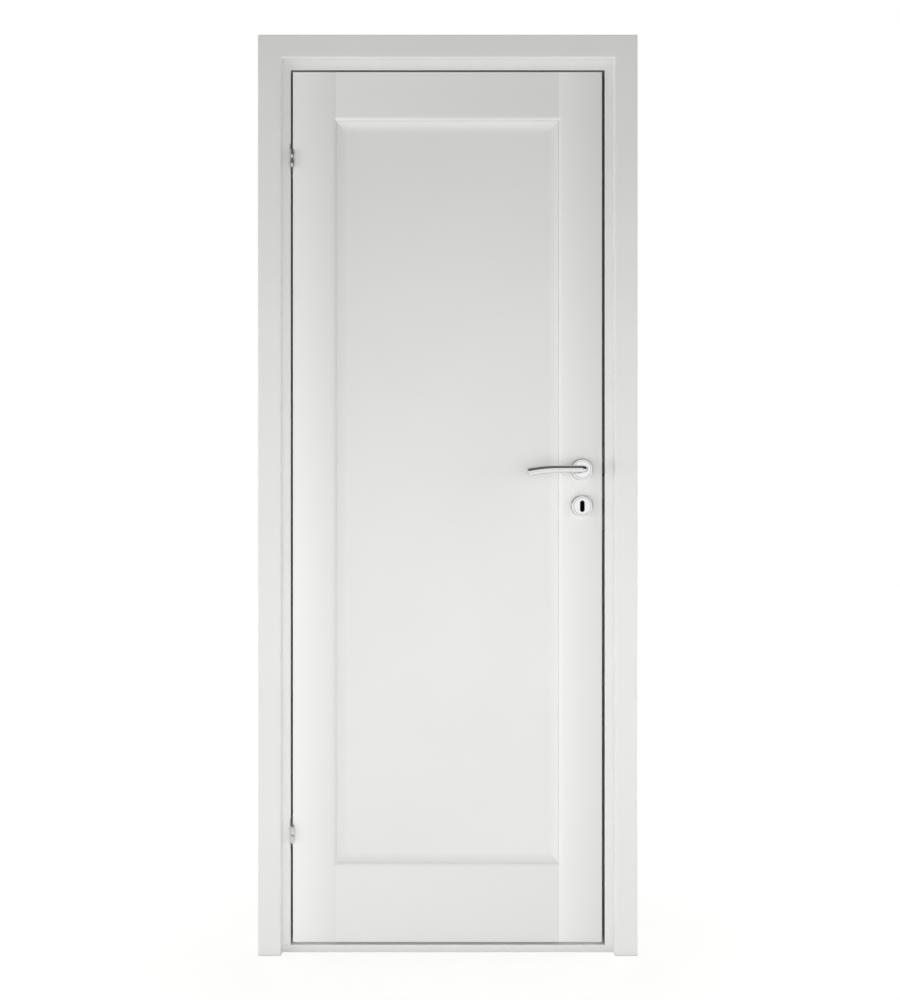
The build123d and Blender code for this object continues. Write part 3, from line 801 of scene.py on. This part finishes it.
def lever(name, node):
    """A lever in place of its node: round neck, elbow, level bar, drooping oval grip and a blunt tip."""
    low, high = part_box(node)
    on_front = node.startswith("front")
    out = -1 if on_front else 1
    neck_start = high.y if on_front else low.y
    bar_y = (low.y if on_front else high.y) - out * lever_radius
    path = [Vector((spindle_axis.x, neck_start, spindle_axis.z))]
    heights = [lever_radius]
    for step in range(elbow_steps + 1):
        turn = math.pi / 2 * step / elbow_steps
        heights.append(lever_radius + (grip_half_height - lever_radius) * step / elbow_steps)
        path.append(
            Vector(
                (
                    spindle_axis.x - elbow_radius * (1 - math.cos(turn)),
                    bar_y - out * elbow_radius * (1 - math.sin(turn)),
                    spindle_axis.z,
                )
            )
        )
    reach = spindle_axis.x - low.x
    run = reach - straight_reach
    sweep_radius = (run ** 2 + droop ** 2) / (2 * droop)
    sweep_angle = math.asin(run / sweep_radius)
    for step in range(grip_steps + 1):
        turn = sweep_angle * step / grip_steps
        heights.append(grip_half_height + (tip_half_height - grip_half_height) * step / grip_steps)
        path.append(
            Vector(
                (
                    spindle_axis.x - straight_reach - sweep_radius * math.sin(turn),
                    bar_y,
                    spindle_axis.z - sweep_radius * (1 - math.cos(turn)),
                )
            )
        )
    tip = path.pop()
    heading = (tip - path[-1]).normalized()
    base = tip - heading * tip_rounding
    while (path[-1] - base).dot(heading) > 0:
        path.pop()
    radii = [lever_radius] * len(path)
    heights = heights[:len(path)]
    for step in range(tip_steps + 1):
        turn = math.pi / 2 * step / tip_steps
        path.append(base + heading * tip_rounding * math.sin(turn))
        radii.append(lever_radius - tip_rounding * (1 - math.cos(turn)))
        heights.append(tip_half_height - tip_rounding * (1 - math.cos(turn)))
    bm = bmesh.new()
    tube(bm, path, radii, heights)
    piece = finished_piece(bm, name, lever_chrome, crease=50)
    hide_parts(node)
    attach(piece, "lever_handle")


lever_chrome = chrome_plate("polished chrome of the levers")
for face in ("front", "back"):
    lever(f"{face}_bent_lever", f"{face}_lever")

# Studio
# A plain pale floor in a white surround that mirrors see go dark overhead and on the lock side. Soft panels
# light both faces: one on the floor as the ground of a room, one far off on the hinge side as its window.
# The camera is square to the door, near the middle of its height.

floor_size = 14.0
floor_paint = "C4C4C2"
glow_by_door, glow_far_off = 0.66, 0.97
glow_from, glow_to = 0.3, 2.2
mirrored_floor = 0.62
room_light_low, room_light_high, room_light_ends = 0.93, 0.02, 0.6
overhead_from, overhead_to, overhead_dark = 0.17, 0.32, 0.13
beside_from, beside_to, beside_dark = 0.40, 0.65, 0.18
bounce_off_floor = 0.001
strip_above_door = 0.5
strip_width, strip_depth, strip_radiance = 0.9, 0.09, 4.0
camera_place = (0.4005, -1.789, 0.012)
camera_lens, camera_sensor = 26.78, 36.0
floor_z = cad_box[0][2]
door_x = (cad_box[0][0] + cad_box[1][0]) / 2


def seen_straight(tree):
    """The light path, and one for camera, mirror and glass rays, nought for light cast on the object."""
    seen = add_node(tree, "ShaderNodeLightPath").outputs
    straight = add_node(
        tree, "ShaderNodeMath", {0: seen["Is Camera Ray"], 1: seen["Is Transmission Ray"]}, operation="ADD"
    )
    return seen, add_node(
        tree, "ShaderNodeMath", {0: straight.outputs[0], 1: seen["Is Glossy Ray"]}, operation="ADD"
    )


bm = bmesh.new()
bmesh.ops.create_grid(bm, x_segments=1, y_segments=1, size=floor_size / 2)
bmesh.ops.translate(bm, verts=bm.verts, vec=(door_x, 0, floor_z))
# matt paint that stays white to the eye and keeps a faint shadow close to the door
floor_material = bpy.data.materials.new("matt white floor")
floor_material.use_nodes = True
tree = floor_material.node_tree
tree.nodes.clear()
floor_colour = add_node(tree, "ShaderNodeBsdfDiffuse", {"Color": linear(floor_paint)})
seen, straight = seen_straight(tree)
spot = add_node(tree, "ShaderNodeTexCoord").outputs["Object"]
from_door = add_node(tree, "ShaderNodeVectorMath", {0: spot, 1: (door_x, 0, floor_z)}, operation="DISTANCE")
whiteness = add_node(
    tree,
    "ShaderNodeMapRange",
    {
        "Value": from_door.outputs["Value"],
        "From Min": glow_from,
        "From Max": glow_to,
        "To Min": glow_by_door,
        "To Max": glow_far_off,
    },
)
brightness = add_node(
    tree,
    "ShaderNodeMapRange",
    {"Value": seen["Is Glossy Ray"], "To Min": whiteness.outputs[0], "To Max": mirrored_floor},
)
glow = add_node(
    tree, "ShaderNodeMath", {0: straight.outputs[0], 1: brightness.outputs[0]}, operation="MULTIPLY"
)
floor_shine = add_node(tree, "ShaderNodeEmission", {"Strength": glow.outputs[0]})
lit_floor = add_node(tree, "ShaderNodeAddShader", {0: floor_colour.outputs[0], 1: floor_shine.outputs[0]})
add_node(tree, "ShaderNodeOutputMaterial", {"Surface": lit_floor.outputs[0]})
floor = finished_piece(bm, "studio_floor", floor_material)

world = bpy.data.worlds.new("white studio")
bpy.context.scene.world = world
world.use_nodes = True
tree = world.node_tree
tree.nodes.clear()
sky = add_node(tree, "ShaderNodeTexCoord").outputs["Generated"]
towards = add_node(tree, "ShaderNodeSeparateXYZ", {0: sky}).outputs
levels = []
for direction, begins, ends, begin_level, end_level in (
    ("Z", 0.0, room_light_ends, room_light_low, room_light_high),
    ("Z", overhead_from, overhead_to, 1.0, overhead_dark),
    ("X", beside_from, beside_to, 1.0, beside_dark),
):
    ramp = {"From Min": begins, "From Max": ends, "To Min": begin_level, "To Max": end_level}
    levels.append(add_node(tree, "ShaderNodeMapRange", {"Value": towards[direction], **ramp}))
room_light, dark_overhead, dark_beside = levels
mirrored_room = add_node(
    tree, "ShaderNodeMath", {0: dark_overhead.outputs[0], 1: dark_beside.outputs[0]}, operation="MULTIPLY"
)
seen, straight = seen_straight(tree)
cast = add_node(tree, "ShaderNodeBackground", {"Color": linear("FFFFFF"), "Strength": room_light.outputs[0]})
mirrored = add_node(
    tree, "ShaderNodeBackground", {"Color": linear("FFFFFF"), "Strength": mirrored_room.outputs[0]}
)
surround = add_node(tree, "ShaderNodeBackground", {"Color": linear("FFFFFF"), "Strength": 1.0})
by_mirror = add_node(
    tree, "ShaderNodeMixShader", {0: seen["Is Glossy Ray"], 1: surround.outputs[0], 2: mirrored.outputs[0]}
)
shown = add_node(
    tree, "ShaderNodeMixShader", {0: straight.outputs[0], 1: cast.outputs[0], 2: by_mirror.outputs[0]}
)
add_node(tree, "ShaderNodeOutputWorld", {"Surface": shown.outputs[0]})


def soft_panel(name, centre, aim, width, height, radiance):
    """A soft light panel of even radiance, aimed at a point, that neither camera nor mirror shows."""
    light = bpy.data.lights.new(name, "AREA")
    light.shape = "RECTANGLE"
    light.size = width
    light.size_y = height
    light.energy = radiance * math.pi * width * height
    lamp = bpy.data.objects.new(name, light)
    bpy.context.scene.collection.objects.link(lamp)
    towards = Vector(aim) - Vector(centre)
    lamp.matrix_world = Matrix.Translation(centre) @ towards.to_track_quat("-Z", "Y").to_matrix().to_4x4()
    lamp.visible_camera = False
    lamp.visible_glossy = False


# name, place from the middle of the door, aim, width, height, radiance
# the back has the same set, turned half round
for light, (x, y, z), (aim_y, aim_z), width, height, radiance in (
    ("bounce", (0.0, 1.665, floor_z + bounce_off_floor), (1.665, 1.0), 4.0, 3.2, 0.46),
    ("fill", (0.0, 1.6, -0.3), (0.0, -0.3), 2.4, 0.8, 1.85),
    ("window", (-5.0, 1.6, -0.3), (0.0, -0.3), 3.0, 1.4, 6.8),
    ("side", (2.6, 1.0, -0.2), (0.0, -0.2), 1.8, 1.6, 1.45),
):
    for face, out in (("front", -1), ("back", 1)):
        aim = (door_x, out * aim_y, aim_z)
        soft_panel(f"{face}_{light}", (door_x - out * x, out * y, z), aim, width, height, radiance)
# a narrow strip over the head lights the top edges alone
strip_place = (door_x, 0.0, cad_box[1][2] + strip_above_door)
soft_panel("overhead_strip", strip_place, (door_x, 0.0, 0.0), strip_width, strip_depth, strip_radiance)

camera_data = bpy.data.cameras.new("photo view")
camera_data.sensor_fit = "VERTICAL"
camera_data.sensor_height = camera_sensor
camera_data.lens = camera_lens
camera = bpy.data.objects.new("photo_view", camera_data)
camera.location = camera_place
camera.rotation_euler = (math.pi / 2, 0, 0)
bpy.context.scene.collection.objects.link(camera)
bpy.context.scene.camera = camera
bpy.context.scene.view_settings.view_transform = "Standard"
